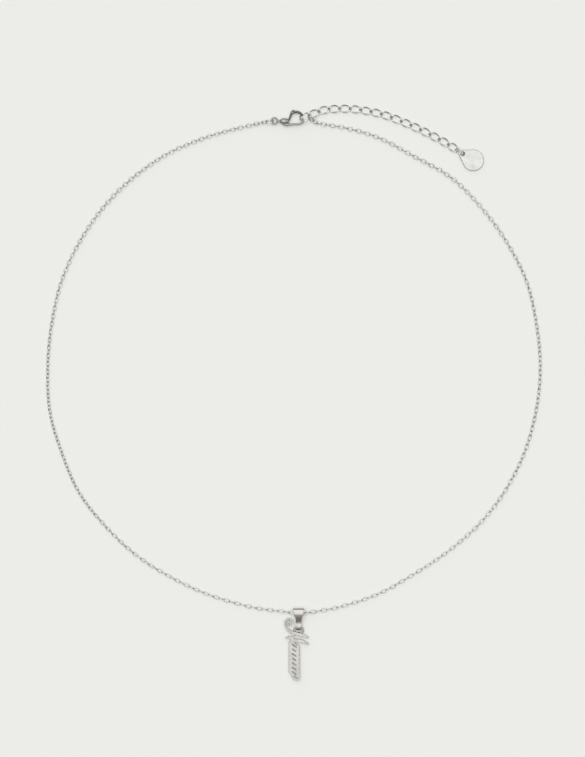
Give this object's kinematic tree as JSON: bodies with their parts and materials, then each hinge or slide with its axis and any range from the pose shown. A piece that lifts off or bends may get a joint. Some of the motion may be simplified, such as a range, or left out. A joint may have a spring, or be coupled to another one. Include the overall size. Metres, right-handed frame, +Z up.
{
  "type": "pendant necklace",
  "caption": "Fine silver-tone chain necklace lying closed, with a lobster clasp, a short extender with a drop tag, and a slim flourish pendant on a strap bail.",
  "frame": {"origin": "on the surface that the necklace lies on, under the middle of its whole outline", "axes": "+Z up from the surface, +Y from the pendant to the clasp, +X to the right seen from above"},
  "size_m": [0.1292, 0.1495, 0.0024],
  "materials": {
    "chain_metal": "polished",
    "link_metal": "polished",
    "clasp_metal": "polished",
    "extender_metal": "polished",
    "tag_metal": "satin",
    "bail_metal": "polished",
    "pendant_metal": "satin"
  },
  "bodies": {
    "necklace": {"main_chain": "chain_metal", "left_end_link": "link_metal", "right_end_link": "link_metal", "clasp_body": "clasp_metal", "clasp_rivet": "clasp_metal", "end_ring": "link_metal", "extender_link_01": "extender_metal", "extender_link_02": "extender_metal", "extender_link_03": "extender_metal", "extender_link_04": "extender_metal", "extender_link_05": "extender_metal", "extender_link_06": "extender_metal", "extender_link_07": "extender_metal", "extender_link_08": "extender_metal", "extender_link_09": "extender_metal", "extender_link_10": "extender_metal", "extender_link_11": "extender_metal", "extender_link_12": "extender_metal", "extender_link_13": "extender_metal", "extender_link_14": "extender_metal", "extender_link_15": "extender_metal", "tag_ring": "link_metal", "end_tag": "tag_metal", "pendant_bail": "bail_metal", "pendant_scroll": "pendant_metal"},
    "clasp_lever": {"clasp_lever": "clasp_metal"}
  },
  "joints": [
    {"name": "lever_hinge", "type": "hinge", "parent": "necklace", "child": "clasp_lever", "pos_m": [-0.00165, 0.0707, 0.001], "axis": [0, 0, 1], "range_deg": [0, 30], "stiffness_Nm_per_rad": 0.0015}
  ]
}
